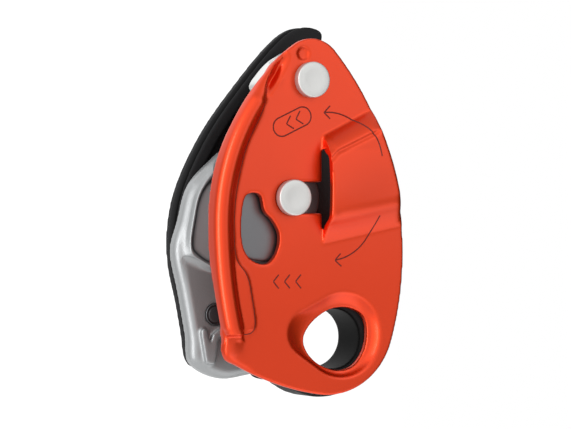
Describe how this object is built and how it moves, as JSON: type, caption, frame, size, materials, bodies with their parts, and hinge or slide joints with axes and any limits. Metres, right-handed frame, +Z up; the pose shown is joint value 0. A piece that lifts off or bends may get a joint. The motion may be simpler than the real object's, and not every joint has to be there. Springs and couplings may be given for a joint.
{
  "type": "belay device",
  "caption": "Hand-sized belay device: two side plates on an axle, a sprung rope cam between them, a folding release handle behind, and a round attachment hole for a carabiner.",
  "frame": {"origin": "on the axis of the attachment hole, half way between the two side plates", "axes": "+Z up along the device from the attachment hole to the side plate axle, +Y from the swinging plate to the handle, +X to the right seen from the swinging plate"},
  "size_m": [0.0601, 0.0343, 0.1002],
  "materials": {
    "orange_aluminium": "satin orange-red anodised",
    "grey_aluminium": "bead-blasted, grey anodised",
    "steel": "turned stainless steel",
    "cam_steel": "satin stainless steel",
    "dark_steel": "blackened steel",
    "spring_steel": "drawn wire",
    "bronze": "sintered bronze",
    "nylon": "fine-grained black nylon"
  },
  "bodies": {
    "frame": {"fixed_side_plate": "grey_aluminium", "side_plate_axle": "steel", "axle_washer": "steel", "pivot_sleeve": "steel", "pivot_washer": "nylon", "friction_plate": "steel", "friction_plate_rivets": "steel", "cam_axle": "steel", "cam_thrust_ring": "nylon", "arm_washer": "steel", "cam_spring": "spring_steel", "cam_stop_pin": "dark_steel", "attachment_spacer": "nylon", "spacer_rivets": "steel"},
    "side_plate": {"moving_side_plate": "orange_aluminium"},
    "cam": {"cam": "cam_steel", "cam_bush": "bronze", "release_arm": "cam_steel", "handle_hinge_pin": "steel", "handle_spring": "spring_steel"},
    "handle": {"handle_body": "nylon", "hinge_bush": "bronze"}
  },
  "joints": [
    {"name": "side_plate_swing", "type": "hinge", "parent": "frame", "child": "side_plate", "pos_m": [-0.00945, 0, 0.069], "axis": [0, 1, 0], "range_deg": [0, 110]},
    {"name": "cam_turn", "type": "hinge", "parent": "frame", "child": "cam", "pos_m": [-0.01505, 0, 0.03775], "axis": [0, 1, 0], "range_deg": [0, 22], "stiffness_Nm_per_rad": 0.2, "springref_deg": -34.38, "deforming": ["cam_spring"]},
    {"name": "handle_unfold", "type": "hinge", "parent": "cam", "child": "handle", "pos_m": [-0.031, 0, 0.016], "axis": [0, -1, 0], "range_deg": [0, 95], "stiffness_Nm_per_rad": 0.05, "springref_deg": -34.38, "deforming": ["handle_spring"]}
  ]
}
